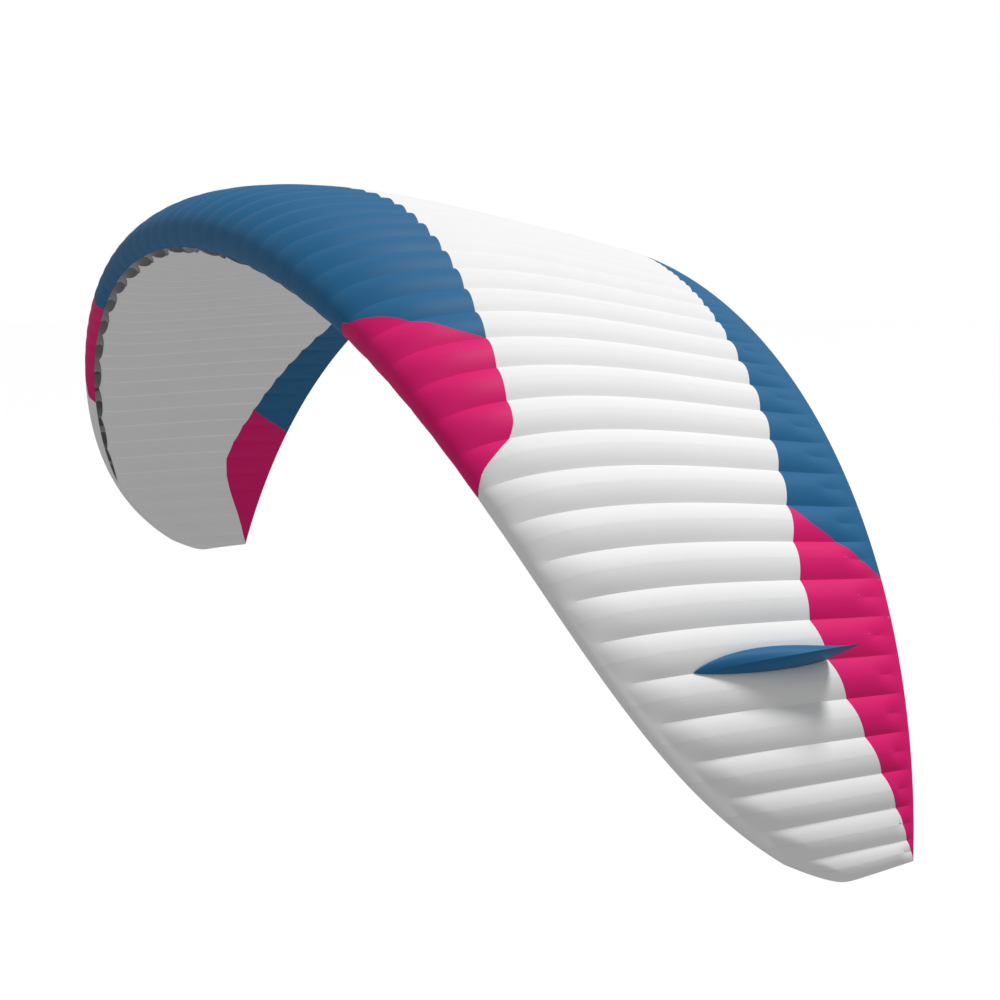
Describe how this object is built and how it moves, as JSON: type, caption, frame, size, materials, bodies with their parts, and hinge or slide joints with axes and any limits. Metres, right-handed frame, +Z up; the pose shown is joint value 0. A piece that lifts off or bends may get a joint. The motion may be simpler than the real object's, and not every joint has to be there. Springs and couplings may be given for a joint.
{
  "type": "paraglider wing",
  "caption": "Inflated, arched paraglider wing of cloth with open air intakes under its leading edge, colour-blocked panels and a small fin near each tip.",
  "frame": {"origin": "on the lower sail's outer face under the middle cell, at 30 percent of the chord, where the lines meet the sail's middle", "axes": "+X along the span towards the wing's left tip, -Y towards the leading edge, +Z up"},
  "size_m": [8.7238, 2.5442, 2.9493],
  "materials": {
    "blue_cloth": "satin",
    "magenta_cloth": "satin",
    "white_cloth": "satin",
    "rib_cloth": "matte"
  },
  "bodies": {
    "root": {"nose_blue": "blue_cloth", "nose_magenta_left": "magenta_cloth", "nose_magenta_right": "magenta_cloth", "top_white_middle": "white_cloth", "top_white_left": "white_cloth", "top_white_right": "white_cloth", "top_tail_blue_left": "blue_cloth", "top_tail_blue_right": "blue_cloth", "top_tail_magenta_left": "magenta_cloth", "top_tail_magenta_right": "magenta_cloth", "low_white": "white_cloth", "low_tail_blue_left": "blue_cloth", "low_tail_blue_right": "blue_cloth", "low_tail_magenta_left": "magenta_cloth", "low_tail_magenta_right": "magenta_cloth", "rib_left_01": "rib_cloth", "rib_left_02": "rib_cloth", "rib_left_03": "rib_cloth", "rib_left_04": "rib_cloth", "rib_left_05": "rib_cloth", "rib_left_06": "rib_cloth", "rib_left_07": "rib_cloth", "rib_left_08": "rib_cloth", "rib_left_09": "rib_cloth", "rib_left_10": "rib_cloth", "rib_left_11": "rib_cloth", "rib_left_12": "rib_cloth", "rib_right_01": "rib_cloth", "rib_right_02": "rib_cloth", "rib_right_03": "rib_cloth", "rib_right_04": "rib_cloth", "rib_right_05": "rib_cloth", "rib_right_06": "rib_cloth", "rib_right_07": "rib_cloth", "rib_right_08": "rib_cloth", "rib_right_09": "rib_cloth", "rib_right_10": "rib_cloth", "rib_right_11": "rib_cloth", "rib_right_12": "rib_cloth", "fin_left": "blue_cloth", "fin_right": "blue_cloth"}
  },
  "joints": []
}
